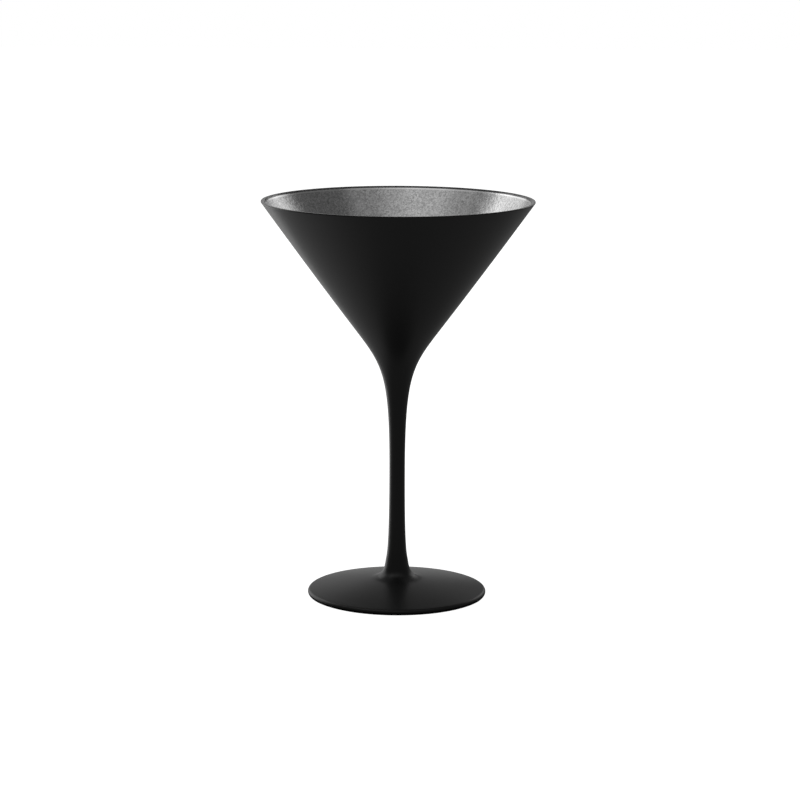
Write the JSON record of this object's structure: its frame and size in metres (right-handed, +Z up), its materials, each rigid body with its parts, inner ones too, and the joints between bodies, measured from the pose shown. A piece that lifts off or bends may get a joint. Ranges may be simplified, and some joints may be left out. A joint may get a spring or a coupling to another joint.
{
  "type": "martini glass",
  "caption": "Stemmed martini glass with a wide conical bowl, slender waisted stem and round foot; matt black outside, silver metallic lacquer inside.",
  "frame": {"origin": "centre of the resting ring under the foot, on the surface that the glass stands on", "axes": "+Z up along the stem's axis; the glass is round, so +X and +Y are any two directions across it"},
  "size_m": [0.1168, 0.1168, 0.172],
  "materials": {
    "clear_glass": "clear soda-lime glass, fire-polished",
    "black_lacquer": "matt black sprayed lacquer, very fine grain",
    "silver_lacquer": "silver metallic-flake lacquer, satin"
  },
  "bodies": {
    "root": {"bowl": "clear_glass", "stem": "clear_glass", "foot": "clear_glass", "black_coat": "black_lacquer", "silver_lining": "silver_lacquer"}
  },
  "joints": []
}
